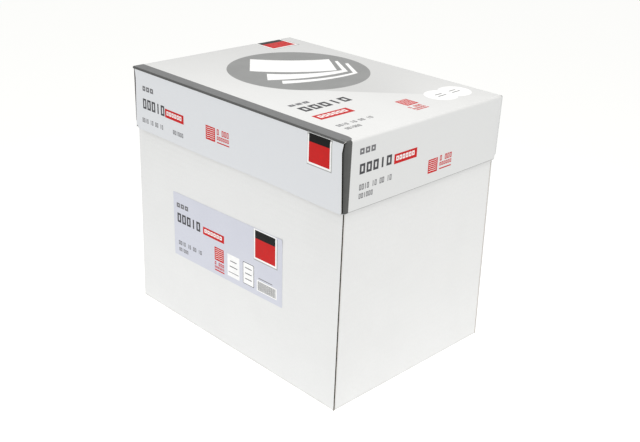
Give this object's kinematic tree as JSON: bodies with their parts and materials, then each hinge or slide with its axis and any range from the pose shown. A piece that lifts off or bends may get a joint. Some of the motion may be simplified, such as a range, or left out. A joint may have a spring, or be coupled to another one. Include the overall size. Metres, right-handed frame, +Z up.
{
  "type": "carton of copy paper",
  "caption": "Lift-off-lid corrugated carton holding a stack of wrapped A4 copy paper reams.",
  "frame": {"origin": "centre of the carton's underside, on the surface it stands on", "axes": "+Z up, +X along the carton's length (the A4 sheet's long edge), -Y towards the labelled front"},
  "size_m": [0.3114, 0.2268, 0.2706],
  "materials": {
    "base_board": "matt white liner",
    "lid_board": "matt white liner with a light grey print",
    "label_paper": "smooth uncoated adhesive label",
    "ream_wrap": "satin wrapping paper"
  },
  "bodies": {
    "base": {"base_tray": "base_board", "front_label": "label_paper", "ream_1": "ream_wrap", "ream_2": "ream_wrap", "ream_3": "ream_wrap", "ream_4": "ream_wrap", "ream_5": "ream_wrap"},
    "lid": {"lid": "lid_board"}
  },
  "joints": [
    {"name": "lid_lift", "type": "slide", "parent": "base", "child": "lid", "axis": [0, 0, 1], "range_m": [0, 0.09]}
  ]
}
